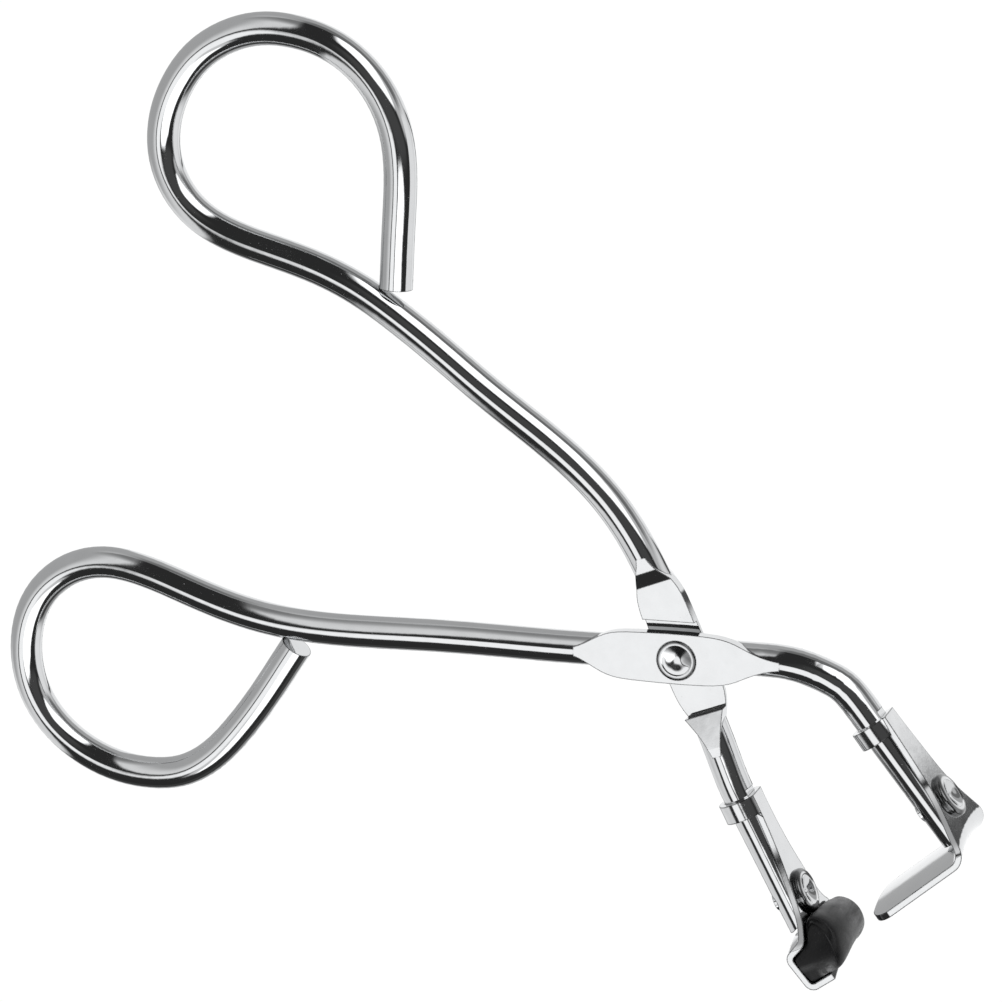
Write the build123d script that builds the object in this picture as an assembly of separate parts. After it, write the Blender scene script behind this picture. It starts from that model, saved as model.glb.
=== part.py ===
from build123d import *
import os
from dataclasses import dataclass
from math import cos, hypot, radians, sin

# Narrow-jaw eyelash curler, scissor type, millimetres.
# The tool lies in the XY plane with its pivot axis along +Z. The origin is on the pivot axis, on
# the flat front face of the blade handle's boss; front is +Z. +X runs toward the jaws along the
# bisector of the two handle arms, +Y is on the side of the pad handle's finger loop.
# The rest pose is half open: the blade stands about 7 degrees clear of the pad.
#
# Each jaw bracket has a local frame: s runs along the bracket from the origin, v along its left
# normal seen from the front, and z stays global. Each boss has u along its length instead of s.

# ---------------------------------------------------------------- driving dimensions
WIRE_D = 3.5                    # handle wire
WIRE_R = WIRE_D / 2
MID_Z = -WIRE_R                 # height of both wires' centreline
LAP_Z = MID_Z - 0.03            # face on which the two bosses lap
SHEET = 0.66                    # jaw bracket sheet
COLLAR_WALL = 0.68

JAW_W = 12.0                    # jaw width across the tool
JAW_SAG = 0.6                   # eyelid curve of both jaws, at the middle of the width
JAW_SKEW = 0.45                 # set-back of the rear end of both jaws

PIVOT_R = 1.5                   # pivot rivet shank
PIVOT_HEAD_R = 2.05
PIVOT_HEAD_T = 0.7
PIVOT_PROUD = 0.1               # heads standing proud of the bosses
PIVOT_HEAD_FILLET = 0.12
PIVOT_DISH = (1.65, 0.55)       # half width and depth of the dish in each head

JAW_RIVET_R = 1.1
JAW_RIVET_HEAD_R = 2.375
JAW_RIVET_HEAD_T = 0.6
JAW_RIVET_HEAD_FILLET = 0.38
JAW_RIVET_DISH = (1.55, 0.45)
TAIL_INSET = 0.02               # tail end, inside the flat on the wire

RUN_GAP = 0.05                  # radial running gap of the pivot in the blade handle
FIX_GAP = 0.02                  # radial gap of fixed rivets, and of wires in their collars
PAD_GAP = 0.03                  # between the pad's foot and the trough
PAD_RIVET_GAP = 0.08            # between the pad's lip and the rivet head
EPS = 0.01                      # overshoot that keeps faces from coinciding

# Boss outline: (u, half width)
BOSS = [(-11.2, 0.5), (-10.1, 0.95), (-9.1, 1.5), (-7.9, 2.1), (-6.8, 2.42), (-5.3, 2.58),
        (-2.4, 2.67), (0.0, 2.7), (2.4, 2.66), (4.8, 2.45), (6.2, 2.05), (7.7, 1.35),
        (9.2, 0.8), (10.9, 0.45)]
BOSS_SHORTENING = 0.04          # shortening of the rear face per unit of lost width


def directions(angle):
    """Unit vector at angle degrees in the XY plane, and its left normal."""
    a = radians(angle)
    return Vector(cos(a), sin(a), 0), Vector(-sin(a), cos(a), 0)


@dataclass
class Side:
    """One handle with its jaw bracket."""
    centreline: list            # (x, y) of the wire from the loop's cut end to the jaw
    loop_tangent: tuple         # direction of the wire at the cut end
    loop_end: float             # cut end run on, to close the loop up against its own arm
    boss_angle: float
    boss_offset: float          # shift of the boss along its left normal
    boss_leaf: float            # depth of the boss's upright edge; behind it the flanks draw in
    boss_rear: float            # width of the boss's rear face as a share of its front
    boss_bulge: list            # width added on the left of each boss station
    angle: float                # direction of the bracket
    face: float                 # v of the bracket plate's outer face
    axis: float                 # v of the wire's axis under the bracket
    wire_end: float             # s of the wire's end
    wire_end_r: float           # radius to which the wire is drawn down there
    seat_start: float           # s of the start of the seat flat
    rivet: float                # s of the bracket rivet
    tail_flat: float            # v of the flat under the rivet's tail
    tail_flat_half: float       # half length of that flat
    collar: float               # s of the collar's middle
    collar_height: float        # length of the collar along the wire
    bore_end: float             # s of the end of the wire's clearance in the bracket

    @property
    def along(self):
        return directions(self.angle)[0]

    @property
    def normal(self):
        return directions(self.angle)[1]

    def point(self, s, v):
        """Point at (s, v) on the wires' mid height."""
        return self.along * s + self.normal * v + Vector(0, 0, MID_Z)


BLADE_WIRE_END = 30.95

BLADE = Side(
    centreline=[
        (-40.55, -17.33), (-42.3, -23.52), (-44.07, -28.51), (-46.13, -32.65), (-48.85, -35.70),
        (-52.31, -37.55), (-56.31, -38.49), (-60.49, -38.36), (-64.36, -37.18), (-67.57, -34.99),
        (-69.8, -31.93), (-70.97, -28.21), (-70.93, -24.39), (-69.61, -20.93), (-67.13, -18.05),
        (-63.86, -16.22), (-59.69, -15.42), (-53.98, -15.33), (-48.28, -15.2), (-43.19, -14.51),
        (-37.99, -13.16), (-32.17, -11.15), (-25.64, -8.73), (-19.1, -6.47), (-12.14, -4.12),
        (-5.82, -1.84), (0.94, 0.69), (6.85, 2.71), (11.70, 4.08), (15.46, 4.12), (19.21, 2.58)],
    loop_tangent=(-0.27, -0.96, 0), loop_end=1.05,
    boss_angle=19.2, boss_offset=0.15, boss_leaf=1.2, boss_rear=0.66,
    boss_bulge=[0] * len(BOSS),
    angle=-34.41, face=15.10, axis=12.98,
    wire_end=BLADE_WIRE_END, wire_end_r=1.55, seat_start=15.6,
    rivet=26.75, tail_flat=11.60, tail_flat_half=2.15,
    collar=17.3, collar_height=1.9, bore_end=BLADE_WIRE_END + 0.15,
)

PAD = Side(
    centreline=[
        (-41.03, 25.83), (-42.53, 31.63), (-43.93, 36.90), (-45.78, 41.02), (-48.32, 43.98),
        (-51.53, 46.01), (-55.39, 47.05), (-59.45, 46.92), (-63.26, 45.82), (-66.39, 43.78),
        (-68.89, 40.81), (-70.32, 37.1), (-70.61, 33.23), (-69.69, 29.71), (-67.58, 26.86),
        (-64.49, 24.93), (-60.62, 24.11), (-55.5, 24.13), (-49.68, 24.26), (-44.95, 23.79),
        (-40.0, 22.60), (-34.19, 20.74), (-28.11, 18.62), (-21.79, 16.66), (-16.58, 14.8),
        (-12.29, 12.65), (-8.4, 9.81), (-4.69, 6.21), (-0.83, 1.75), (3.48, -3.56),
        (7.2, -7.95), (10.13, -11.36)],
    loop_tangent=(-0.25, 0.97, 0), loop_end=0.48,
    boss_angle=-50.0, boss_offset=0.30, boss_leaf=2.3, boss_rear=0.80,
    boss_bulge=[0, 0, 0, 0, 0, 0, 0, 0.05, 0.20, 0.34, 0.36, 0.36, 0.30, 0.1],
    angle=-45.18, face=1.15, axis=-0.82,
    wire_end=31.90, wire_end_r=1.50, seat_start=15.3,
    rivet=27.6, tail_flat=-2.13, tail_flat_half=2.1,
    collar=17.0, collar_height=2.0, bore_end=20,
)


# ---------------------------------------------------------------- shared tools
def flat_plane(angle, z):
    """Local x along angle, local y its left normal, facing +Z."""
    return Plane(origin=(0, 0, z), x_dir=directions(angle)[0], z_dir=(0, 0, 1))


def upright_plane(angle, z=0.0):
    """Local x along angle, local y along +Z from height z."""
    along, normal = directions(angle)
    return Plane(origin=(0, 0, z), x_dir=along, z_dir=-normal)


def prism(points, plane, depth, both=False):
    face = plane * make_face(Polyline(*points, close=True))
    return extrude(face, amount=depth, both=both)


def side_prism(side, points):
    """Prism on (s, v) points, deeper than the whole tool."""
    return prism(points, flat_plane(side.angle, MID_Z - 8), 16)


def block(side, s0, s1, v0, v1):
    return side_prism(side, [(s0, v0), (s1, v0), (s1, v1), (s0, v1)])


def cylinder(start, end, radius):
    start, end = Vector(*start), Vector(*end)
    axis = end - start
    turned = Plane(origin=(0, 0, 0), z_dir=axis).location * Cylinder(radius, axis.length)
    return Pos(*((start + end) * 0.5)) * turned


def pivot_cylinder(z0, z1, radius):
    return cylinder((0, 0, z0), (0, 0, z1), radius)


def jaw_rivet_hole(side):
    return cylinder(side.point(side.rivet, side.face - 8), side.point(side.rivet, side.face + 5),
                    JAW_RIVET_R + FIX_GAP)


def round_corner(sketch, corner, radius):
    """Fillet the sketch's vertex nearest to corner."""
    vertex = sketch.vertices().sort_by_distance((corner[0], corner[1], 0))[0]
    return fillet(vertex, radius)


# ---------------------------------------------------------------- handles
def swept_wire(side):
    path = Spline(*[(x, y, MID_Z) for x, y in side.centreline],
                  tangents=[side.loop_tangent, (side.along.X, side.along.Y, 0)])
    body = sweep(Plane(origin=path @ 0, z_dir=path % 0) * Circle(WIRE_R), path=path)
    # straight end under the bracket, drawn down mostly on the side away from the bracket
    x, y = side.centreline[-1]
    tip = side.point(side.wire_end, side.axis + (WIRE_R - side.wire_end_r) * 0.8)
    body += loft([Plane(origin=(x, y, MID_Z), z_dir=side.along) * Circle(WIRE_R),
                  Plane(origin=tip, z_dir=side.along) * Circle(side.wire_end_r)], ruled=True)
    # free end of the finger loop, run up to its own arm
    body += cylinder(path @ 0, path @ 0 - (path % 0) * side.loop_end, WIRE_R)
    return body


def boss_outline(side, z, scale):
    """Boss face at height z, its width scaled and its length shortened a little with it."""
    length = 1 - BOSS_SHORTENING * (1 - scale)
    left = [(u * length, side.boss_offset + (half + bulge) * scale)
            for (u, half), bulge in zip(BOSS, side.boss_bulge)]
    right = [(u * length, side.boss_offset - half * scale) for u, half in reversed(BOSS)]
    edges = [Spline(*left), Line(left[-1], right[0]), Spline(*right), Line(right[-1], left[0])]
    return flat_plane(side.boss_angle, z) * make_face(edges)


def boss(side):
    front = boss_outline(side, -side.boss_leaf, 1.0)
    rear = boss_outline(side, -WIRE_D, side.boss_rear)
    return extrude(front, amount=side.boss_leaf) + loft([rear, front], ruled=True)


def cut_bracket_seat(body, side):
    """Seat flat under the bracket plate, and the small flat under its rivet's tail."""
    body -= block(side, side.seat_start, 40, side.face - SHEET - EPS, side.face + 6)
    body -= block(side, side.rivet - side.tail_flat_half, side.rivet + side.tail_flat_half,
                  side.tail_flat, side.axis - 5)
    return body


def handle_a():
    """Blade handle, the front one at the pivot."""
    body = swept_wire(BLADE)
    body += boss(BLADE)
    # rear half removed where the pad handle's boss passes, with room for the full swing
    below = -WIRE_D - 1
    body -= prism([(-5.0, 4.2), (-2.5, -4.2), (5.7, -4.2), (2.6, 4.2)],
                  flat_plane(BLADE.boss_angle, below), LAP_Z - below)
    # stamped rear lands either side of the lap: (u, z)
    land_z = -WIRE_D + 1.0
    loop_land = [(-9.7, -WIRE_D - EPS), (-8.2, land_z), (-3.0, land_z), (-3.0, below),
                 (-9.7, below)]
    jaw_land = [(4.0, -WIRE_D + 0.9), (10.2, -WIRE_D - EPS), (10.2, below), (4.0, below)]
    for land in (loop_land, jaw_land):
        body -= prism(land, upright_plane(BLADE.boss_angle), 4.0, both=True)
    body = cut_bracket_seat(body, BLADE)
    # pivot bore and the recess for the rivet's front head
    body -= pivot_cylinder(-5, 1, PIVOT_R + RUN_GAP)
    body -= pivot_cylinder(PIVOT_PROUD - PIVOT_HEAD_T - 0.04, 1, PIVOT_HEAD_R + RUN_GAP)
    body -= jaw_rivet_hole(BLADE)
    return body


def handle_b():
    """Pad handle, the rear one at the pivot."""
    body = swept_wire(PAD)
    body += boss(PAD)
    # front half removed where the blade handle's boss lies; the loop-side shoulder is parallel
    # to that boss, the jaw-side shoulder stands off it
    along, normal = directions(BLADE.boss_angle)
    shoulder = [along * u + normal * 3.85 for u in (-9, 9)]
    body -= prism([(p.X, p.Y) for p in shoulder]
                  + [(10.7, 0.71), (6.10, -3.14), (2.67, -6.01), (-1.93, -9.86)],
                  Plane(origin=(0, 0, LAP_Z), z_dir=(0, 0, 1)), 4.0)
    # stamped front lands: (u, z)
    loop_land = [(-9.7, EPS), (-8.15, -1.0), (-2.0, -1.0), (-2.0, 1), (-9.7, 1)]
    jaw_land = [(4.0, -0.85), (10.0, EPS), (10.0, 1), (4.0, 1)]
    for land in (loop_land, jaw_land):
        body -= prism(land, upright_plane(PAD.boss_angle), 4.2, both=True)
    body = cut_bracket_seat(body, PAD)
    # end of the wire cut back along the trough's plate-side wall
    body -= side_prism(PAD, [(29.85, 1.0), (31.05, -1.45), (31.45, -3.2), (40, -4), (40, 1.0)])
    # pivot bore and the recess for the rivet's rear head
    body -= pivot_cylinder(-5, 1, PIVOT_R + FIX_GAP)
    body -= pivot_cylinder(-5, -WIRE_D - PIVOT_PROUD + PIVOT_HEAD_T + 0.01,
                           PIVOT_HEAD_R + FIX_GAP)
    body -= jaw_rivet_hole(PAD)
    return body


# ---------------------------------------------------------------- rivets
def ball_radius(half_width, depth):
    """Radius of the ball that sinks a dish of this half width and depth."""
    return (half_width ** 2 + depth ** 2) / (2 * depth)


def pivot_rivet():
    top, bottom = PIVOT_PROUD, -WIRE_D - PIVOT_PROUD
    body = pivot_cylinder(bottom, top, PIVOT_R)
    body += pivot_cylinder(top - PIVOT_HEAD_T, top, PIVOT_HEAD_R)
    body += pivot_cylinder(bottom, bottom + PIVOT_HEAD_T, PIVOT_HEAD_R)

    def is_outer_rim(edge):
        return abs(edge.radius - PIVOT_HEAD_R) < 1e-6 and any(
            abs(edge.center().Z - z) < 1e-6 for z in (top, bottom))

    rims = body.edges().filter_by(GeomType.CIRCLE).filter_by(is_outer_rim)
    body = fillet(rims, PIVOT_HEAD_FILLET)
    ball = ball_radius(*PIVOT_DISH)
    depth = PIVOT_DISH[1]
    body -= Pos(0, 0, top + ball - depth) * Sphere(ball)
    body -= Pos(0, 0, bottom - ball + depth) * Sphere(ball)
    return body


def jaw_rivet(side):
    """Round head with a dished centre on the bracket plate; the tail is flush with the wire."""
    tail = side.tail_flat + TAIL_INSET - side.face
    head = Pos(0, 0, JAW_RIVET_HEAD_T / 2) * Cylinder(JAW_RIVET_HEAD_R, JAW_RIVET_HEAD_T)
    rim = head.edges().filter_by(GeomType.CIRCLE).sort_by(Axis.Z)[-1]
    head = fillet(rim, JAW_RIVET_HEAD_FILLET)
    shank = Pos(0, 0, tail / 2) * Cylinder(JAW_RIVET_R, -tail)
    ball = ball_radius(*JAW_RIVET_DISH)
    dish = Pos(0, 0, JAW_RIVET_HEAD_T + ball - JAW_RIVET_DISH[1]) * Sphere(ball)
    body = head + shank - dish
    seat = Plane(origin=side.point(side.rivet, side.face), x_dir=(0, 0, 1), z_dir=side.normal)
    return seat.location * body


# ---------------------------------------------------------------- jaw brackets
PLATE_OVERLAP = 0.4             # flat plate run into the swept sheet

# Half outlines of the brackets seen along their normals: (s, half width)
BLADE_OUTLINE = [(16.35, 1.65), (19.2, 1.92), (22.0, 2.28), (24.6, 2.72), (27.2, 3.72),
                 (29.3, 5.0), (30.6, 5.72), (31.7, 6.02)]
PAD_OUTLINE = [(16.0, 1.45), (19.5, 1.5), (21.2, 1.68), (23.3, 2.05), (25.5, 2.6), (27.5, 3.15),
               (29.0, 3.75), (30.0, 4.5), (30.7, 5.35), (31.4, 5.9), (32.1, 6.02)]

# Outer lines of the bent sheets seen on edge: (s, v)
BLADE_LENGTH = 12.5
BLADE_DIRECTION = (0.0713, -0.9975)
BLADE_BEND = (32.45, BLADE.face)
BLADE_TIP = (BLADE_BEND[0] + BLADE_DIRECTION[0] * BLADE_LENGTH,
             BLADE_BEND[1] + BLADE_DIRECTION[1] * BLADE_LENGTH)
BLADE_PROFILE = [(28.0, BLADE.face), BLADE_BEND, BLADE_TIP]
BLADE_CORNER_R = 2.4            # free corners of the blade
# plate, then the trough's plate-side wall, floor and far wall
TROUGH = [(27.0, PAD.face - SHEET), (31.05, PAD.face - SHEET), (32.15, -1.71), (36.46, -0.63),
          (35.865, 2.515)]

# Bend radii at each corner: (on the listed line, on its offset)
BLADE_BENDS = [(1.95, 1.29)]
TROUGH_BENDS = [(0.4, 1.0), (1.05, 0.42), (1.05, 0.42)]


def slide_sweep(face, side):
    """Carry a face from the jaw's rear end along the eyelid curve without turning it."""
    rear = side.along * -JAW_SKEW
    middle = side.along * -(JAW_SAG + JAW_SKEW / 2)
    path = Edge.make_three_point_arc((rear.X, rear.Y, MID_Z - JAW_W / 2),
                                     (middle.X, middle.Y, MID_Z), (0, 0, MID_Z + JAW_W / 2))
    return Solid.sweep(face.moved(Location((rear.X, rear.Y, 0))), path, mode=Vector(0, 0, 1))


def offset_polyline(points, distance):
    """Points of an open polyline moved to its left by distance."""
    lines = []
    for (x0, y0), (x1, y1) in zip(points, points[1:]):
        length = hypot(x1 - x0, y1 - y0)
        dx, dy = (x1 - x0) / length, (y1 - y0) / length
        lines.append((x0 - dy * distance, y0 + dx * distance, dx, dy))
    moved = [lines[0][:2]]
    for (x0, y0, dx0, dy0), (x1, y1, dx1, dy1) in zip(lines, lines[1:]):
        reach = ((x1 - x0) * dy1 - (y1 - y0) * dx1) / (dx0 * dy1 - dy0 * dx1)
        moved.append((x0 + dx0 * reach, y0 + dy0 * reach))
    x, y = points[-1]
    moved.append((x - dy * distance, y + dx * distance))
    return moved


def bent_sheet(side, profile, thickness, bends):
    """Sheet face seen on edge at the jaw's rear end, with its thickness to the profile's left."""
    inner = offset_polyline(profile, thickness)
    sketch = make_face(Polyline(*profile, *reversed(inner), close=True))
    for corner, inner_corner, (radius, inner_radius) in zip(profile[1:-1], inner[1:-1], bends):
        sketch = round_corner(sketch, corner, radius)
        sketch = round_corner(sketch, inner_corner, inner_radius)
    return (flat_plane(side.angle, MID_Z - JAW_W / 2) * sketch).face()


def bracket_sheet(side, profile, thickness, bends, outline):
    """Swept jaw and flat plate, trimmed to the symmetric outline."""
    jaw = slide_sweep(bent_sheet(side, profile, thickness, bends), side)
    plate = block(side, outline[0][0], profile[0][0] + PLATE_OVERLAP,
                  side.face - SHEET, side.face)
    mirrored = [(s, -half) for s, half in reversed(outline)]
    far_front, far_rear = (45, outline[-1][1]), (45, mirrored[0][1])
    edges = [Spline(*outline), Line(outline[-1], far_front), Line(far_front, far_rear),
             Line(far_rear, mirrored[0]), Spline(*mirrored), Line(mirrored[-1], outline[0])]
    clip = extrude(upright_plane(side.angle, MID_Z) * make_face(edges), amount=30, both=True)
    return (jaw + plate) & clip


def add_collar(body, side):
    """Collar round the wire, then the wire's clearance and the rivet hole."""
    half = side.collar_height / 2
    ring = cylinder(side.point(side.collar - half, side.axis),
                    side.point(side.collar + half, side.axis), WIRE_R + COLLAR_WALL)
    body = body + (ring & block(side, 10, 25, side.face, side.face - 9))
    bore = cylinder(side.point(12, side.axis), side.point(side.bore_end, side.axis),
                    WIRE_R + FIX_GAP)
    body -= bore & block(side, 10, 40, side.face - SHEET, side.face - 9)
    body -= jaw_rivet_hole(side)
    return body


def blade_jaw():
    body = bracket_sheet(BLADE, BLADE_PROFILE, -SHEET, BLADE_BENDS, BLADE_OUTLINE)
    # rounded free corners of the blade; local x is -v, local y is z
    plane = Plane(origin=BLADE.point(BLADE_BEND[0], 0), x_dir=-BLADE.normal, z_dir=-BLADE.along)
    reach, half = -BLADE_TIP[1], JAW_W / 2
    clip = make_face(Polyline((-25, -half), (reach, -half), (reach, half), (-25, half),
                              close=True))
    for z in (-half, half):
        clip = round_corner(clip, (reach, z), BLADE_CORNER_R)
    body = body & extrude(plane * clip, amount=30, both=True)
    return add_collar(body, BLADE)


def pad_jaw():
    return add_collar(bracket_sheet(PAD, TROUGH, SHEET, TROUGH_BENDS, PAD_OUTLINE), PAD)


# ---------------------------------------------------------------- rubber pad
# Head of the pad, which bulges over the plate's face and stands proud of the walls: (s, v)
PAD_HEAD = [(35.15, 2.85), (34.80, 3.50), (34.10, 4.15), (33.10, 4.45), (31.95, 4.35),
            (30.95, 3.75), (30.25, 2.90), (30.15, 2.10), (30.60, 1.50), (31.30, 1.19)]
PAD_FOOT_R = 0.45
PAD_HEAD_R = 0.5
PAD_HALF_W = JAW_W / 2 + EPS
# Fall of the head toward the front end, mirrored for the rear: (distance from mid height, v)
PAD_FALL = [(PAD_HALF_W, 2.20), (5.5, 3.00), (4.6, 3.80), (3.0, 4.38)]
PAD_CREST = (0, 4.60)


def curl_pad():
    # the foot follows the trough's inside
    _, plate_bend, near_corner, far_corner, rim = offset_polyline(TROUGH, SHEET + PAD_GAP)
    # start of the foot on the plate-side wall, clear of the bend
    share = 0.42
    wall = (plate_bend[0] + (near_corner[0] - plate_bend[0]) * share + 0.10,
            plate_bend[1] + (near_corner[1] - plate_bend[1]) * share)
    sketch = make_face(Polyline(near_corner, far_corner, rim, *PAD_HEAD, wall, close=True))
    for corner in (near_corner, far_corner):
        sketch = round_corner(sketch, corner, PAD_FOOT_R)
    for corner in PAD_HEAD[1:-2]:
        sketch = round_corner(sketch, corner, PAD_HEAD_R)
    face = flat_plane(PAD.angle, MID_Z - JAW_W / 2) * sketch
    body = slide_sweep(face.face(), PAD)
    # the head falls away toward both ends; local x is z, local y is v
    ends = Plane(origin=(0, 0, MID_Z), x_dir=(0, 0, 1), z_dir=-PAD.along)
    hump = [(-PAD_HALF_W, -4), (PAD_HALF_W, -4), *PAD_FALL, PAD_CREST,
            *[(-z, v) for z, v in reversed(PAD_FALL)]]
    body = body & prism(hump, ends, 60, both=True)
    # the overhanging lip gives way round the bracket rivet's head
    head_top = PAD.face + JAW_RIVET_HEAD_T + PAD_RIVET_GAP
    return body - cylinder(PAD.point(PAD.rivet, PAD.face - 1), PAD.point(PAD.rivet, head_top),
                           JAW_RIVET_HEAD_R + PAD_RIVET_GAP)


# ---------------------------------------------------------------- export
PARTS = {
    "handle_a": handle_a,
    "handle_b": handle_b,
    "pivot_rivet": pivot_rivet,
    "blade_jaw": blade_jaw,
    "blade_jaw_rivet": lambda: jaw_rivet(BLADE),
    "pad_jaw": pad_jaw,
    "pad_jaw_rivet": lambda: jaw_rivet(PAD),
    "curl_pad": curl_pad,
}

os.makedirs("parts", exist_ok=True)
for name, make in PARTS.items():
    solids = make().solids()
    body = solids[0] if len(solids) == 1 else Compound(children=list(solids))
    body.label = name
    export_step(body, os.path.join("parts", name + ".step"))
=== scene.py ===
"""A plated hand tool with two wire handles, a blade jaw, and a pad jaw that holds a rubber pad.

The pivot rivet stands at the origin along +Z. The handle loops lie toward -X, one on each side
of the X axis, and the jaws reach toward +X and -Y. Shapes are given in mm and scaled by MM;
material lengths are in metres unless a comment says otherwise.
"""
import math
import bmesh
import bpy
from mathutils import Matrix, Vector
from mathutils.bvhtree import BVHTree
from mathutils.kdtree import KDTree


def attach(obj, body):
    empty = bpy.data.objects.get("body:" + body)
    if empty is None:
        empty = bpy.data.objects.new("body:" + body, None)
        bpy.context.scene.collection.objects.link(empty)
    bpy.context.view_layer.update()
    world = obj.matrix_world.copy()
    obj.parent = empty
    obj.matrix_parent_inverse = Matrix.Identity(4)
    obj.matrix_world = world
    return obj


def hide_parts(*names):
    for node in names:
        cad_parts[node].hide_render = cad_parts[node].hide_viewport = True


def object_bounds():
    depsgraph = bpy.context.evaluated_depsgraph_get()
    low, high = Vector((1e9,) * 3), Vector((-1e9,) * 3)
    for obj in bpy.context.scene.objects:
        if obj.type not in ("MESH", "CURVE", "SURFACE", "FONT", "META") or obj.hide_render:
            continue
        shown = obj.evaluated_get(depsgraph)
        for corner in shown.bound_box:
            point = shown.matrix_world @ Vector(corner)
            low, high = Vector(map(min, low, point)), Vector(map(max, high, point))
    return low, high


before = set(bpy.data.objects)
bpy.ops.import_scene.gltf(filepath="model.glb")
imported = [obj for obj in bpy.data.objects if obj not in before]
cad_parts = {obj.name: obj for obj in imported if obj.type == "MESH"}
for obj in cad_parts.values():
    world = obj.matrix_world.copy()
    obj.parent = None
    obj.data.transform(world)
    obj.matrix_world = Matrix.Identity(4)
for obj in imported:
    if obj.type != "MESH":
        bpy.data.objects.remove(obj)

CAD_BOX = [[float(c) for c in corner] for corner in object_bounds()]
MM = 0.001
MID_Z = -1.75           # middle of the jaws' width, and the plane of both handles
scene = bpy.context.scene


# ---------------------------------------------------------------- jaw brackets
def bracket_axes(degrees):
    """Unit directions along a jaw's bracket and square to it, in the XY plane."""
    c, s = math.cos(math.radians(degrees)), math.sin(math.radians(degrees))
    return (c, s, 0.0), (-s, c, 0.0)


def place(axes, along, out, z=MID_Z):
    """A point in mm from distances along a bracket and square to it."""
    x, y = (axes[0][c] * along + axes[1][c] * out for c in (0, 1))
    return x, y, z


BLADE_AXES = bracket_axes(-34.41)
PAD_AXES = bracket_axes(-45.18)


def add_object(name, data):
    obj = bpy.data.objects.new(name, data)
    scene.collection.objects.link(obj)
    return obj


def unit(value):
    return min(1.0, max(0.0, value))


# ---------------------------------------------------------------- shader nodes
MIX_FIRST_INPUT = {"FLOAT": 2, "VECTOR": 4, "RGBA": 6}


class Net:
    """Lays out the shader nodes of a material or world. A value is a number, tuple or socket."""

    def __init__(self, owner):
        owner.use_nodes = True
        self.tree = owner.node_tree
        self.tree.nodes.clear()

    def node(self, kind, inputs=None, **settings):
        node = self.tree.nodes.new(kind)
        for name, value in settings.items():
            setattr(node, name, value)
        for key, value in (inputs or {}).items():
            if isinstance(value, bpy.types.NodeSocket):
                self.tree.links.new(value, node.inputs[key])
            else:
                node.inputs[key].default_value = value
        return node

    def math(self, operation, *values):
        return self.node("ShaderNodeMath", dict(enumerate(values)), operation=operation).outputs[0]

    def times(self, first, *others):
        for other in others:
            first = self.math("MULTIPLY", first, other)
        return first

    def vector(self, operation, inputs, output=0):
        node = self.node("ShaderNodeVectorMath", inputs, operation=operation)
        return node.outputs[output]

    def dot(self, a, b):
        return self.vector("DOT_PRODUCT", {0: a, 1: b}, "Value")

    def unit_vector(self, value):
        return self.vector("NORMALIZE", {0: value})

    def ramp(self, value, start, end, first=0.0, last=1.0, shape="LINEAR"):
        """Goes from first to last while the value goes from start to end."""
        inputs = {"Value": value, "From Min": start, "From Max": end,
                  "To Min": first, "To Max": last}
        node = self.node("ShaderNodeMapRange", inputs, interpolation_type=shape, clamp=True)
        return node.outputs["Result"]

    def step(self, value, start, end, first=0.0, last=1.0):
        return self.ramp(value, start, end, first, last, "SMOOTHSTEP")

    def fall(self, value, start, end):
        return self.step(value, start, end, first=1.0, last=0.0)

    def mix(self, factor, a, b, kind="FLOAT"):
        i = MIX_FIRST_INPUT[kind]
        node = self.node("ShaderNodeMix", {0: factor, i: a, i + 1: b}, data_type=kind)
        return node.outputs[i // 2 - 1]

    def noise(self, point, scale, detail, rough, warp=0.0):
        inputs = {"Vector": point, "Scale": scale, "Detail": detail,
                  "Roughness": rough, "Distortion": warp}
        return self.node("ShaderNodeTexNoise", inputs, noise_dimensions="3D").outputs["Fac"]

    def bump(self, height, distance, normal=None, strength=1.0):
        inputs = {"Height": height, "Strength": strength, "Distance": distance}
        if normal is not None:
            inputs["Normal"] = normal
        return self.node("ShaderNodeBump", inputs).outputs[0]

    def rounded(self, radius):
        """The surface's normal, rounded only along sharp edges, and a mask of those edges."""
        soft = self.node("ShaderNodeBevel", {"Radius": radius}, samples=6).outputs[0]
        plain = self.node("ShaderNodeNewGeometry").outputs["Normal"]
        turned = self.math("SUBTRACT", 1.0, self.dot(soft, plain))
        rim = self.step(turned, start=0.006, end=0.02)
        return self.unit_vector(self.mix(rim, plain, soft, "VECTOR")), rim

    def xyz(self, value):
        return self.node("ShaderNodeSeparateXYZ", {0: value}).outputs

    def coordinate(self, name):
        return self.node("ShaderNodeTexCoord").outputs[name]

    def color(self, channels):
        return self.node("ShaderNodeCombineColor", dict(enumerate(channels))).outputs[0]

    def surface(self, shader, kind="ShaderNodeOutputMaterial"):
        self.node(kind, {"Surface": shader.outputs[0]})

    def principled(self, color, metallic, rough, normal, **more):
        inputs = {"Base Color": color, "Metallic": metallic, "Roughness": rough,
                  "Normal": normal, **more}
        self.surface(self.node("ShaderNodeBsdfPrincipled", inputs))


def new_material(name):
    material = bpy.data.materials.new(name)
    return material, Net(material)


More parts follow.
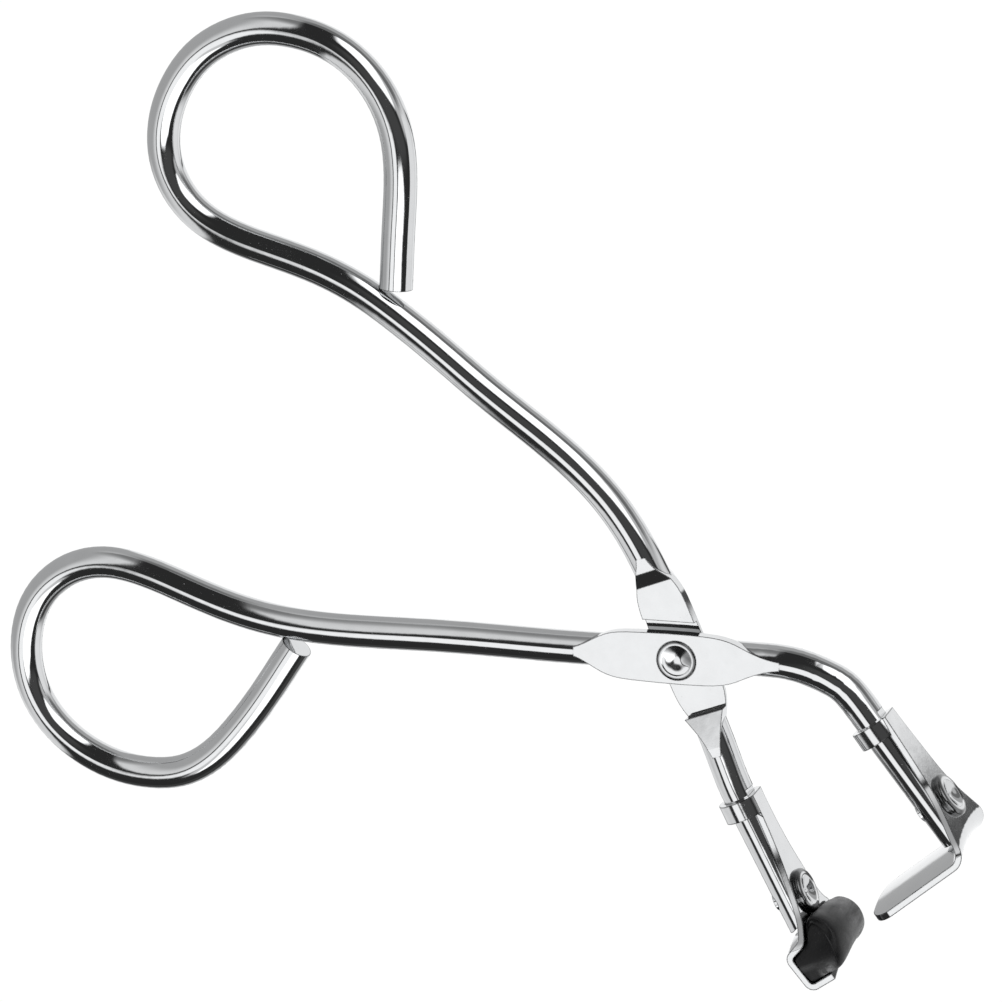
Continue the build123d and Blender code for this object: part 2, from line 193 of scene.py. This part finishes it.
# ---------------------------------------------------------------- studio
# Soft boxes in the sky: brightness, edge softness in degrees, and a convex outline whose points
# are (angle from +Z toward +X, angle from +Z toward +Y) in degrees. Later boxes cover earlier.
SKY_BOXES = {
    "top box": (1.75, 2.5, [
        (-10.8, 85.7), (21.6, 91.4), (45.0, 81.0), (55.8, 61.2),
        (50.4, 46.1), (32.4, 40.3), (14.4, 36.0), (-6.5, 53.3)]),
    "top wing": (0.62, 5.0, [
        (21.6, 91.4), (55.8, 85.7), (84.6, 61.2), (89.3, 41.4),
        (72.0, 34.2), (50.4, 46.1), (36.0, 72.0)]),
    "low box": (1.9, 2.0, [
        (10.1, -4.3), (32.4, 5.0), (57.6, -1.1), (62.3, -21.6), (54.7, -43.9),
        (36.0, -54.7), (11.5, -57.6), (2.9, -43.9), (4.3, -21.6)]),
    "face box": (1.30, 3.0, [
        (-20.7, -9.2), (0.0, -3.6), (9.0, -21.6), (5.4, -42.5), (-10.8, -39.6), (-20.5, -28.8)]),
    "side card": (0.80, 3.0, [
        (1.8, -32.4), (10.1, -32.4), (12.6, -50.4), (5.4, -55.0), (-1.5, -47.0)]),
    "room": (0.075, 6.0, [
        (-10.8, 36.0), (21.6, 37.8), (68.4, 34.2), (68.4, 7.2),
        (36.0, 3.6), (10.8, -5.4), (-10.8, -3.6)]),
}
SKY_BASE = 0.032                    # brightness between the boxes
TABLE_BASE = 0.50
SEEN_DIRECTLY = 0.90                # brightness the camera sees beyond the floor
WORLD_TINT = (0.995, 1.0, 1.005)
FLOOR_HALF = 1.2                    # metres
FLOOR_CELLS = 12
FLOOR_GAP = 0.0001                  # metres below the CAD
FLOOR_GLOW = 1.02


def sky_direction(toward_x, toward_y):
    tilt = math.radians(math.hypot(toward_x, toward_y))
    turn = math.atan2(toward_y, toward_x)
    return Vector((math.sin(tilt) * math.cos(turn), math.sin(tilt) * math.sin(turn),
                   math.cos(tilt)))


def sky_box_mask(net, ray, softness, outline):
    """One inside the outline: the product of a soft step across each side."""
    corners = [sky_direction(*point) for point in outline]
    middle = sum(corners, Vector()).normalized()
    soft = math.sin(math.radians(softness))
    sides = []
    for a, b in zip(corners, corners[1:] + corners[:1]):
        inward = a.cross(b).normalized()
        if inward.dot(middle) < 0:
            inward = -inward
        sides.append(net.step(net.dot(ray, tuple(inward)), start=-soft, end=soft))
    return net.times(*sides)


def table_light(net, ray, x, y, minus_y, down):
    """The pale table below the horizon, with patches of the room mirrored in it."""
    front = net.dot(ray, (0.20, -0.98, 0.0))
    back = net.dot(ray, (0.17, 0.985, 0.0))
    streak = net.dot(ray, (0.55, 0.835, 0.0))
    patches = [
        # bright, toward +X
        (net.times(net.step(x, start=0.35, end=0.80), net.step(y, start=-0.62, end=-0.38)), 1.05),
        # dim, toward -Y
        (net.times(net.step(minus_y, start=0.30, end=0.62), net.step(x, start=0.05, end=0.40)),
         0.34),
        # dark front of the room, toward -Y
        (net.times(net.step(front, start=0.60, end=0.72), net.fall(down, start=0.40, end=0.54)),
         0.06),
        # dim back of the room, toward +Y
        (net.times(net.step(back, start=0.68, end=0.86), net.fall(down, start=0.30, end=0.42)),
         0.20),
        # dark streak toward +X and +Y
        (net.times(net.step(streak, start=0.86, end=0.93), net.fall(down, start=0.52, end=0.60),
                   net.step(down, start=0.30, end=0.42)), 0.10),
    ]
    table = TABLE_BASE
    for mask, brightness in patches:
        table = net.mix(mask, table, brightness)
    # straight under the tool the table is bright, with one dark slot where it ends
    across = net.dot(ray, (0.8, -0.6, 0.0))
    slot = net.times(net.step(across, start=0.108, end=0.140),
                     net.fall(across, start=0.195, end=0.225))
    under = net.mix(slot, 1.08, 0.10)
    return net.mix(net.step(down, start=0.72, end=0.84), table, under)


def handle_wall(net, y, minus_x, minus_y, down):
    """Mask and brightness of the light wall at the handle end, toward -X."""
    far = net.math("MAXIMUM", net.step(minus_x, start=0.52, end=0.80),
                   net.step(down, start=0.05, end=0.30))
    brightness = net.mix(far, 0.92, 0.50)
    bright_corner = net.times(net.step(minus_y, start=0.45, end=0.70),
                              net.step(down, start=-0.10, end=0.20))
    brightness = net.mix(bright_corner, brightness, 0.95)
    mask = net.times(net.step(minus_x, start=0.41, end=0.47),
                     net.step(y, start=0.55, end=0.85, first=1.0, last=0.25))
    return mask, brightness


def build_world():
    world = bpy.data.worlds.new("studio")
    scene.world = world
    net = Net(world)
    ray = net.unit_vector(net.coordinate("Generated"))
    x, y, z = net.xyz(ray)
    minus_x, minus_y, down = (net.times(c, -1.0) for c in (x, y, z))
    light = SKY_BASE
    for brightness, softness, outline in SKY_BOXES.values():
        light = net.mix(sky_box_mask(net, ray, softness, outline), light, brightness)
    table = table_light(net, ray, x, y, minus_y, down)
    light = net.mix(net.step(down, start=-0.03, end=0.04), light, table)
    wall_mask, wall = handle_wall(net, y, minus_x, minus_y, down)
    light = net.mix(wall_mask, light, wall)
    # the studio shows only in reflections: looked at directly it is plain and pale
    is_camera = net.node("ShaderNodeLightPath").outputs["Is Camera Ray"]
    light = net.mix(is_camera, light, SEEN_DIRECTLY)
    color = net.color([net.times(light, k) for k in WORLD_TINT])
    background = net.node("ShaderNodeBackground", {"Color": color, "Strength": 1.0})
    net.surface(background, "ShaderNodeOutputWorld")


def build_floor():
    bm = bmesh.new()
    bmesh.ops.create_grid(bm, x_segments=FLOOR_CELLS, y_segments=FLOOR_CELLS, size=FLOOR_HALF)
    mesh = bpy.data.meshes.new("floor")
    bm.to_mesh(mesh)
    bm.free()
    floor = add_object("floor", mesh)
    floor.location = (0, 0, CAD_BOX[0][2] - FLOOR_GAP)
    material, net = new_material("pale_floor")
    glow = net.node("ShaderNodeEmission", {"Color": (1, 1, 1, 1), "Strength": FLOOR_GLOW})
    # one-sided, so that it doesn't hide the tool from a camera below it
    clear = net.node("ShaderNodeBsdfTransparent")
    behind = net.node("ShaderNodeNewGeometry").outputs["Backfacing"]
    net.surface(net.node("ShaderNodeMixShader",
                         {0: behind, 1: glow.outputs[0], 2: clear.outputs[0]}))
    mesh.materials.append(material)
    floor.visible_glossy = False


# ---------------------------------------------------------------- materials
CHROME_TINT = (0.67, 0.675, 0.68)
RIVET_TINT = (0.64, 0.645, 0.65)


def chrome(name, rough, wave, grain, bevel, painted_edge_shade):
    """Bright plate: slow waves, fine wipe marks, a little dust, and rounded edges painted dark as
    a painted reflection of the dark studio.

    wave and grain are bump depths, bevel the radius of the edges, all in metres; the last argument
    is how much the edges are painted dark.
    """
    material, net = new_material(name)
    point = net.coordinate("Object")
    edge, rim = net.rounded(bevel)
    waves = net.noise(point, scale=260.0, detail=2.0, rough=0.5, warp=0.3)
    marks = net.noise(point, scale=2400.0, detail=3.0, rough=0.6)
    normal = net.bump(marks, grain, net.bump(waves, wave, edge))
    haze = net.noise(point, scale=420.0, detail=4.0, rough=0.65)
    dull = net.ramp(haze, start=0.35, end=0.75, first=rough, last=rough + 0.06)
    spots = net.noise(point, scale=5200.0, detail=1.0, rough=0.5)
    dust = net.step(spots, start=0.74, end=0.80)
    dull = net.math("ADD", dull, net.times(dust, 0.25))
    shade = net.ramp(haze, start=0.3, end=0.8, first=1.0, last=0.94)
    # painted reflection: the rounded edges are painted dark
    shade = net.times(shade, net.math("MULTIPLY_ADD", rim, -painted_edge_shade, 1.0))
    color = net.color([net.times(shade, k) for k in CHROME_TINT])
    net.principled(color, metallic=1.0, rough=dull, normal=normal)
    return material


def rivet(name, rough, center, axis, radius, dish, painted_shade_start, off_square=False):
    """A plated rivet: dished crown, and a ring of painted shade round the foot of the head.

    center, radius and the depth of the dish are in mm; where the painted shade starts is given as
    a share of the radius.
    """
    material, net = new_material(name)
    point = net.coordinate("Object")
    offset = net.vector("SUBTRACT", {0: point, 1: tuple(c * MM for c in center)})
    along = net.vector("SCALE", {0: axis, "Scale": net.dot(offset, axis)})
    flat = net.vector("SUBTRACT", {0: offset, 1: along})
    share = net.math("DIVIDE", net.vector("LENGTH", {0: flat}, "Value"), radius * MM)
    bowl = net.step(share, start=0.10, end=0.62)
    lip = net.step(share, start=0.62, end=0.92, first=1.0, last=0.55)
    height = net.times(bowl, lip)
    normal, _ = net.rounded(0.00012)
    if off_square:
        # the dish is shallow on its -Y side; on its +Y side it is deep and dull, and painted
        # darker as painted shade
        side = net.math("DIVIDE", net.xyz(offset)[1], radius * MM)
        shallow = net.times(net.step(side, start=0.12, end=-0.16, last=0.80),
                            net.step(share, start=0.84, end=0.70))
        normal = net.unit_vector(net.mix(shallow, normal, (0.06, 0.03, 1.0), "VECTOR"))
        # painted shade on the +Y side of the dish
        painted_dark_side = net.times(net.step(side, start=0.05, end=0.35),
                         net.step(share, start=0.84, end=0.74))
    normal = net.bump(height, dish * MM, normal)
    waves = net.noise(point, scale=900.0, detail=2.0, rough=0.5)
    normal = net.bump(waves, 3e-6, normal)
    marks = net.noise(point, scale=4200.0, detail=2.0, rough=0.5)
    normal = net.bump(marks, 0.6e-6, normal)
    haze = net.noise(point, scale=800.0, detail=3.0, rough=0.6)
    # painted shade: a dark ring round the foot of the head, mottled by haze, where the crevice is
    # shaded
    painted_foot_shade = net.times(net.step(share, start=painted_shade_start, end=painted_shade_start + 0.10),
                     net.ramp(haze, start=0.2, end=0.7, first=0.72, last=1.0))
    if off_square:
        painted_foot_shade = net.math("MAXIMUM", painted_foot_shade, net.times(painted_dark_side, 0.70))
    dull = net.math("ADD",
                    net.ramp(haze, start=0.35, end=0.75, first=rough, last=rough + 0.08),
                    net.times(painted_foot_shade, 0.15))
    # the painted shade darkens the colour by up to 86%
    darkening = -0.86
    color = net.color([net.times(net.math("MULTIPLY_ADD", painted_foot_shade, darkening, 1.0), k)
                       for k in RIVET_TINT])
    net.principled(color, metallic=1.0, rough=dull, normal=normal)
    return material


def rubber(name):
    """Satin black rubber: streaks; dust and painted light on the head's high-along side; painted
    light, a mottled grey, on the head toward -Z; a painted sheen across the foot's end face.
    """
    material, net = new_material(name)
    point = net.coordinate("Object")
    # mm along the bracket, out of its face, and along Z
    along, out = (net.times(net.dot(point, axis), 1 / MM) for axis in PAD_AXES)
    z = net.times(net.xyz(point)[2], 1 / MM)
    stretched = net.node("ShaderNodeCombineXYZ", {0: along, 1: out, 2: net.times(z, 0.14)})
    streak = net.noise(stretched.outputs[0], scale=1.1, detail=2.0, rough=0.5)
    grain = net.noise(point, scale=3200.0, detail=4.0, rough=0.6)
    cloud = net.noise(point, scale=620.0, detail=5.0, rough=0.62, warp=0.5)
    fine = net.noise(point, scale=5200.0, detail=2.0, rough=0.6)
    head = net.step(out, start=1.2, end=2.2)
    # painted light: the head toward -Z, which faces the light, painted a mottled grey
    painted_lit_head = net.times(head, net.step(z, start=1.4, end=-3.6),
                    net.ramp(streak, start=0.38, end=0.60, first=0.15),
                    net.ramp(cloud, start=0.40, end=0.58, first=0.30))
    # dust and painted light: lighter mottled patches on the head's high-along side, which faces
    # the light
    dust = net.times(net.step(along, start=33.4, end=34.9), net.step(out, start=3.4, end=2.3),
                     net.step(out, start=0.9, end=1.8),
                     net.ramp(cloud, start=0.40, end=0.62, first=0.10))
    specks = net.times(net.step(fine, start=0.66, end=0.72), 0.35, head)
    # painted sheen: a lighter streak across the foot's near end face
    painted_foot_sheen = net.times(net.step(along, start=33.35, end=33.80),
                     net.fall(along, start=33.85, end=34.35),
                     net.step(out, start=1.6, end=0.6))
    color = (0.006, 0.006, 0.0065, 1)
    # coats in order: painted light on the head, painted sheen on the foot, dust with painted
    # light, dust specks
    for mask, coat in ((net.times(painted_lit_head, 0.80), (0.20, 0.20, 0.203, 1)),
                       (net.times(painted_foot_sheen, 0.8), (0.060, 0.060, 0.061, 1)),
                       (dust, (0.42, 0.42, 0.422, 1)),
                       (specks, (0.10, 0.10, 0.10, 1))):
        color = net.mix(mask, color, coat, "RGBA")
    grainy = net.bump(grain, 22e-6, strength=0.6)
    normal = net.bump(streak, 60e-6, grainy, strength=0.5)
    dull = net.math("ADD", net.ramp(cloud, start=0.3, end=0.7, first=0.34, last=0.50),
                    net.times(dust, 0.2))
    net.principled(color, metallic=0.0, rough=dull, normal=normal,
                   **{"IOR": 1.52, "Specular IOR Level": 0.30})
    return material


def assign(name, material):
    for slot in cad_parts[name].material_slots:
        slot.material = material


# ---------------------------------------------------------------- rubber pad
# A foot held in the trough and a bulbous head. Sections are (along the bracket, out of its face)
# in mm, from the foot's inner corner round the head, at mid-width and at the ends.
# Below, z is measured from the middle of the jaw's width.
PAD_MID = [
    (32.62, -0.55), (32.95, -0.74), (34.2, -0.46), (35.35, -0.15), (35.58, 0.15), (35.38, 1.2),
    (35.20, 2.15), (35.50, 2.72), (35.62, 3.20), (35.28, 3.78), (34.52, 4.25), (33.50, 4.45),
    (32.30, 4.36), (31.20, 3.97), (30.38, 3.30), (29.98, 2.55), (30.10, 1.90), (30.60, 1.46),
    (31.25, 1.26), (31.65, 1.10), (31.95, 0.70), (32.30, 0.05)]
PAD_END = [
    (32.62, -0.55), (32.95, -0.74), (34.2, -0.46), (35.35, -0.15), (35.58, 0.15), (35.38, 1.2),
    (35.22, 1.80), (35.10, 2.15), (34.90, 2.50), (34.60, 2.80), (34.15, 3.05), (33.55, 3.15),
    (32.90, 3.10), (32.25, 2.85), (31.75, 2.50), (31.40, 2.10), (31.30, 1.80), (31.35, 1.50),
    (31.50, 1.30), (31.68, 1.08), (31.95, 0.70), (32.30, 0.05)]
# (z, shift of the head's low-along side along the bracket)
PAD_CUT = [(-6.0, 0.55), (-4.8, 0.85), (-3.0, 0.90), (-1.5, 0.75), (0.0, 0.50),
           (2.0, 0.20), (3.2, -0.15), (4.2, -0.45), (5.2, -0.60), (6.0, -0.60)]
PAD_TAPER_HALF = 6.0        # where a section would become PAD_END
PAD_HALF = 5.97             # highest line of the end faces
PAD_WALL = PAD_HALF - 0.10  # last section before the end faces
PAD_BARREL_FROM = 4.2       # where sections begin to follow the end faces' curve
PAD_ROWS = 64
PAD_STEPS = 6               # points per stretch of outline
EASE_PASSES = 6
# rings closing an end face: (size, mm back from the highest line)
END_RINGS = [(0.99, 0.04), (0.965, 0.01)] + [
    (size, 0.0) for size in (0.93, 0.8, 0.65, 0.5, 0.35, 0.2, 0.08)]
END_ALONG, END_OUT = 33.7, 1.3      # point those rings shrink toward
CLEARANCE = 0.06 * MM
CLEARANCE_TRIGGER = 0.058 * MM
CLEARANCE_REACH = 0.3 * MM


def jaw_offset(z):
    """Shift of the whole section along the bracket, following the jaw's curve."""
    return -0.825 + 0.0375 * z + (0.6 / 36) * z * z


def pad_cut(z):
    for (z0, cut0), (z1, cut1) in zip(PAD_CUT, PAD_CUT[1:]):
        if z <= z1:
            return cut0 + (cut1 - cut0) * ((z - z0) / (z1 - z0))


def catmull_rom(p0, p1, p2, p3, t):
    return 0.5 * (2 * p1 + (p2 - p0) * t + (2 * p0 - 5 * p1 + 4 * p2 - p3) * t * t
                  + (-p0 + 3 * p1 - 3 * p2 + p3) * t ** 3)


def closed_curve(points, steps):
    count = len(points)
    curve = []
    for i in range(count):
        near = [points[(i + k) % count] for k in (-1, 0, 1, 2)]
        for j in range(steps):
            curve.append([catmull_rom(*(p[c] for p in near), j / steps) for c in (0, 1)])
    return curve


def pad_section(z):
    taper = abs(z) / PAD_TAPER_HALF
    fullness = (1 - taper ** 4) ** 0.5 if z > 0 else (1 - taper ** 3.4) ** 0.58
    cut = pad_cut(z)
    points = []
    for i, (mid, end) in enumerate(zip(PAD_MID, PAD_END)):
        along, out = (end[c] + (mid[c] - end[c]) * fullness for c in (0, 1))
        if i > 8:
            along += cut * unit((34.9 - along) / 4.9) * unit((out - 1.2) / 0.5)
        if 7 <= i <= 10 and z < -2:
            along += 0.12
        points.append((along, out))
    return closed_curve(points, PAD_STEPS)


def barrel(along, out):
    """How far the pad's end faces fall away from their highest line."""
    return 0.13 * (along - 34.0) ** 2 + 0.05 * max(0.0, out - 1.0) ** 2


def ease_head(rings):
    """Average each head point with its four neighbours; the foot stays as it is."""
    eased = []
    for k, ring in enumerate(rings):
        below, above = rings[max(0, k - 1)], rings[min(len(rings) - 1, k + 1)]
        row = []
        for i, p in enumerate(ring):
            share = unit((p[1] - 1.3) / 0.6) * 0.5
            a, b = ring[i - 1], ring[(i + 1) % len(ring)]
            row.append([p[c] * (1 - share)
                        + share * 0.25 * (a[c] + b[c] + below[i][c] + above[i][c])
                        for c in (0, 1)])
        eased.append(row)
    return eased


def body_ring(ring, z):
    bend = max(0.0, (abs(z) - PAD_BARREL_FROM) / (PAD_WALL - PAD_BARREL_FROM)) ** 2
    return [(s, n, z - math.copysign(bend, z) * barrel(s, n)) for s, n in ring]


def end_rings(ring, sign):
    rings = []
    for size, back in END_RINGS:
        points = [(END_ALONG + (s - END_ALONG) * size, END_OUT + (n - END_OUT) * size)
                  for s, n in ring]
        rings.append([(s, n, sign * (PAD_HALF - back - barrel(s, n))) for s, n in points])
    return rings


def pad_rings():
    """Rings of (along, out, z) from the -Z end of the pad to the +Z end."""
    levels = [PAD_WALL * math.sin(math.pi / 2 * (2 * k / PAD_ROWS - 1))
              for k in range(PAD_ROWS + 1)]
    rings = [pad_section(z) for z in levels]
    for _ in range(EASE_PASSES):
        rings = ease_head(rings)
    body = [body_ring(ring, z) for ring, z in zip(rings, levels)]
    return end_rings(rings[0], -1)[::-1] + body + end_rings(rings[-1], 1)


def press_clear(bm):
    """Press the rubber back clear of the trough and of the rivet wherever it would touch."""
    trees = []
    for name in ("pad_jaw", "pad_jaw_rivet"):
        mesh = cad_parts[name].data
        trees.append(BVHTree.FromPolygons([v.co.copy() for v in mesh.vertices],
                                          [tuple(f.vertices) for f in mesh.polygons]))
    for tree in trees * 3:
        for vert in bm.verts:
            spot, normal, _, distance = tree.find_nearest(vert.co)
            height = (vert.co - spot).dot(normal)
            if distance < CLEARANCE_REACH and height < CLEARANCE_TRIGGER:
                vert.co = spot + normal * CLEARANCE


def build_pad(material):
    bm = bmesh.new()

    def add_vert(along, out, z):
        point = place(PAD_AXES, along + jaw_offset(z), out, MID_Z + z)
        return bm.verts.new([c * MM for c in point])

    grid = [[add_vert(*point) for point in ring] for ring in pad_rings()]
    count = len(grid[0])
    for lower, upper in zip(grid, grid[1:]):
        for i in range(count):
            j = (i + 1) % count
            bm.faces.new((lower[i], lower[j], upper[j], upper[i]))
    for row, flip in ((grid[0], True), (grid[-1], False)):
        hub = bm.verts.new(sum((vert.co for vert in row), Vector()) / count)
        for i in range(count):
            j = (i + 1) % count
            bm.faces.new((row[j], row[i], hub) if flip else (row[i], row[j], hub))
    bmesh.ops.recalc_face_normals(bm, faces=bm.faces)
    press_clear(bm)
    mesh = bpy.data.meshes.new("curl_pad_rubber")
    bm.to_mesh(mesh)
    bm.free()
    for face in mesh.polygons:
        face.use_smooth = True
    mesh.materials.append(material)
    pad = add_object("curl_pad_rubber", mesh)
    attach(pad, "pad_half")
    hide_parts("curl_pad")


# ---------------------------------------------------------------- wires
# The handles keep the CAD surface. On the round of the wire the shading normals are worked out
# from its centreline, so that reflections run true. Centreline points are (x, y) in mm, from
# the end of the loop, round it and on to the jaw.
LOOP_A = [
    (-40.55, -17.33), (-42.3, -23.52), (-44.07, -28.51), (-46.13, -32.65), (-48.85, -35.70),
    (-52.31, -37.55), (-56.31, -38.49), (-60.49, -38.36), (-64.36, -37.18), (-67.57, -34.99),
    (-69.8, -31.93), (-70.97, -28.21), (-70.93, -24.39), (-69.61, -20.93), (-67.13, -18.05),
    (-63.86, -16.22), (-59.69, -15.42), (-53.98, -15.33), (-48.28, -15.2), (-43.19, -14.51),
    (-37.99, -13.16), (-32.17, -11.15), (-25.64, -8.73), (-19.1, -6.47), (-12.14, -4.12),
    (-5.82, -1.84), (0.94, 0.69), (6.85, 2.71), (11.70, 4.08), (15.46, 4.12), (19.21, 2.58)]
LOOP_B = [
    (-41.03, 25.83), (-42.53, 31.63), (-43.93, 36.90), (-45.78, 41.02), (-48.32, 43.98),
    (-51.53, 46.01), (-55.39, 47.05), (-59.45, 46.92), (-63.26, 45.82), (-66.39, 43.78),
    (-68.89, 40.81), (-70.32, 37.1), (-70.61, 33.23), (-69.69, 29.71), (-67.58, 26.86),
    (-64.49, 24.93), (-60.62, 24.11), (-55.5, 24.13), (-49.68, 24.26), (-44.95, 23.79),
    (-40.0, 22.60), (-34.19, 20.74), (-28.11, 18.62), (-21.79, 16.66), (-16.58, 14.8),
    (-12.29, 12.65), (-8.4, 9.81), (-4.69, 6.21), (-0.83, 1.75), (3.48, -3.56),
    (7.2, -7.95), (10.13, -11.36)]
WIRE_RADIUS = 1.75
SPLINE_STEPS = 70           # samples between two points
LEAD_STEPS = 12             # samples on the straight before the first point
TAIL_STEPS = 150            # samples on the straight after the last point
ROUND_TOLERANCE = 0.012     # mm off the wire's radius that still counts as its round
FACING = 0.93               # least agreement of a new normal with its face


def spline_slopes(values, gaps, first, last):
    """Slopes of a cubic spline with given end slopes."""
    count = len(values)
    lower, diagonal, upper, right = [0.0] * count, [1.0] * count, [0.0] * count, [0.0] * count
    right[0], right[-1] = first, last
    for k in range(1, count - 1):
        before, after = gaps[k - 1], gaps[k]
        lower[k], upper[k] = after, before
        diagonal[k] = 2 * (before + after)
        right[k] = 3 * (after * (values[k] - values[k - 1]) / before
                        + before * (values[k + 1] - values[k]) / after)
    for k in range(1, count):
        factor = lower[k] / diagonal[k - 1]
        diagonal[k] -= factor * upper[k - 1]
        right[k] -= factor * right[k - 1]
    slopes = [0.0] * count
    slopes[-1] = right[-1] / diagonal[-1]
    for k in range(count - 2, -1, -1):
        slopes[k] = (right[k] - upper[k] * slopes[k + 1]) / diagonal[k]
    return slopes


def hermite(a, b, slope_a, slope_b, t):
    """Value and derivative of a cubic stretch at t."""
    value = ((2 * t ** 3 - 3 * t * t + 1) * a + (t ** 3 - 2 * t * t + t) * slope_a
             + (3 * t * t - 2 * t ** 3) * b + (t ** 3 - t * t) * slope_b)
    change = ((6 * t * t - 6 * t) * a + (3 * t * t - 4 * t + 1) * slope_a
              + (6 * t - 6 * t * t) * b + (3 * t * t - 2 * t) * slope_b)
    return value, change


def clamped_spline(points, start, end):
    """(point, direction, radius) samples of a spline with given end directions."""
    gaps = [math.dist(a, b) for a, b in zip(points, points[1:])]
    slopes = [spline_slopes([p[c] for p in points], gaps, start[c], end[c]) for c in (0, 1)]
    last = len(gaps) - 1
    samples = []
    for k, gap in enumerate(gaps):
        for j in range(SPLINE_STEPS + (k == last)):
            (x, dx), (y, dy) = (
                hermite(points[k][c], points[k + 1][c], slopes[c][k] * gap,
                        slopes[c][k + 1] * gap, j / SPLINE_STEPS) for c in (0, 1))
            samples.append((Vector((x, y, MID_Z)), Vector((dx, dy, 0)).normalized(), WIRE_RADIUS))
    return samples


def centreline(points, start, lead, axes, end_along, end_out, end_radius):
    """A straight lead, the loop and arm, then a straight tapering tail along the bracket."""
    line = clamped_spline(points, Vector(start).normalized(), axes[0])
    origin, heading, _ = line[0]
    line = [(origin - heading * lead * k / LEAD_STEPS, heading, WIRE_RADIUS)
            for k in range(LEAD_STEPS, 0, -1)] + line
    tail = Vector((*points[-1], MID_Z))
    tip = Vector(place(axes, end_along, end_out + (WIRE_RADIUS - end_radius) * 0.8))
    heading = (tip - tail).normalized()
    return line + [(tail.lerp(tip, k / TAIL_STEPS), heading,
                    WIRE_RADIUS + (end_radius - WIRE_RADIUS) * k / TAIL_STEPS)
                   for k in range(1, TAIL_STEPS + 1)]


def round_normals(mesh, world, line):
    """Per vertex, the direction out from the centreline, or None off the wire's round."""
    tree = KDTree(len(line))
    for k, (point, _, _) in enumerate(line):
        tree.insert(point, k)
    tree.balance()
    normals = []
    for vert in mesh.vertices:
        point = (world @ vert.co) / MM
        center, k, _ = tree.find(point)
        _, heading, radius = line[k]
        center = center + heading * (point - center).dot(heading)
        out = point - center
        on_round = abs(out.length - radius) < ROUND_TOLERANCE
        normals.append(out.normalized() if on_round else None)
    return normals


def build_wire(name, body, material, line):
    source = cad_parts[name]
    mesh = source.data.copy()
    mesh.name = name + "_plated"
    world = source.matrix_world
    turn = world.to_3x3().normalized()
    back = turn.inverted()
    true = round_normals(mesh, world, line)
    normals = [corner.vector.copy() for corner in mesh.corner_normals]
    for face in mesh.polygons:
        facing = (turn @ face.normal).normalized()
        for corner in face.loop_indices:
            normal = true[mesh.loops[corner].vertex_index]
            if normal is not None and normal.dot(facing) > FACING:
                normals[corner] = back @ normal
    mesh.polygons.foreach_set("use_smooth", [True] * len(mesh.polygons))
    mesh.normals_split_custom_set(normals)
    wire = add_object(name + "_plated", mesh)
    wire.matrix_world = world
    mesh.materials.clear()
    mesh.materials.append(material)
    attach(wire, body)
    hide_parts(name)


# ---------------------------------------------------------------- assembly
build_world()
build_floor()
wire_chrome = chrome("chrome_wire_finish", rough=0.04, wave=14e-6, grain=1e-6,
                     bevel=0.00016, painted_edge_shade=0.88)
sheet_chrome = chrome("chrome_sheet_finish", rough=0.055, wave=12e-6, grain=2e-6,
                      bevel=0.00020, painted_edge_shade=0.90)
pad_rubber = rubber("pad_rubber_finish")

for handle in ("handle_a", "handle_b"):
    assign(handle, wire_chrome)
build_wire("handle_a", "blade_half", wire_chrome, centreline(
    LOOP_A, start=(-0.27, -0.96, 0), lead=1.05, axes=BLADE_AXES,
    end_along=30.95, end_out=12.98, end_radius=1.55))
build_wire("handle_b", "pad_half", wire_chrome, centreline(
    LOOP_B, start=(-0.25, 0.97, 0), lead=0.48, axes=PAD_AXES,
    end_along=31.90, end_out=-0.82, end_radius=1.50))
for jaw in ("blade_jaw", "pad_jaw"):
    assign(jaw, sheet_chrome)

assign("pivot_rivet", rivet(
    "pivot_rivet_finish", rough=0.05, center=(0, 0, 0), axis=(0, 0, 1),
    radius=2.05, dish=0.08, painted_shade_start=0.84, off_square=True))
for jaw, axes, along in (("blade_jaw", BLADE_AXES, 26.75), ("pad_jaw", PAD_AXES, 27.6)):
    assign(jaw + "_rivet", rivet(
        jaw + "_rivet_finish", rough=0.045, center=place(axes, along, 0.0), axis=axes[1],
        radius=2.375, dish=0.26, painted_shade_start=0.76))
assign("curl_pad", pad_rubber)
build_pad(pad_rubber)

# ---------------------------------------------------------------- camera
CAMERA_PLACE = (56.07, 119.82, 297.54)      # mm
# columns are the camera's right, up and backward directions
CAMERA_TURN = ((0.8958, -0.3732, 0.2412), (0.2825, 0.8973, 0.3393), (-0.3431, -0.2358, 0.9092))
lens = bpy.data.cameras.new("camera")
camera = add_object("camera", lens)
camera.matrix_world = (Matrix.Translation(Vector(CAMERA_PLACE) * MM)
                       @ Matrix(CAMERA_TURN).to_4x4())
lens.sensor_width = 36.0
lens.lens = 113.532934
lens.clip_start = 0.01
lens.clip_end = 10.0
scene.camera = camera
scene.view_settings.view_transform = "Standard"
scene.view_settings.look = "None"
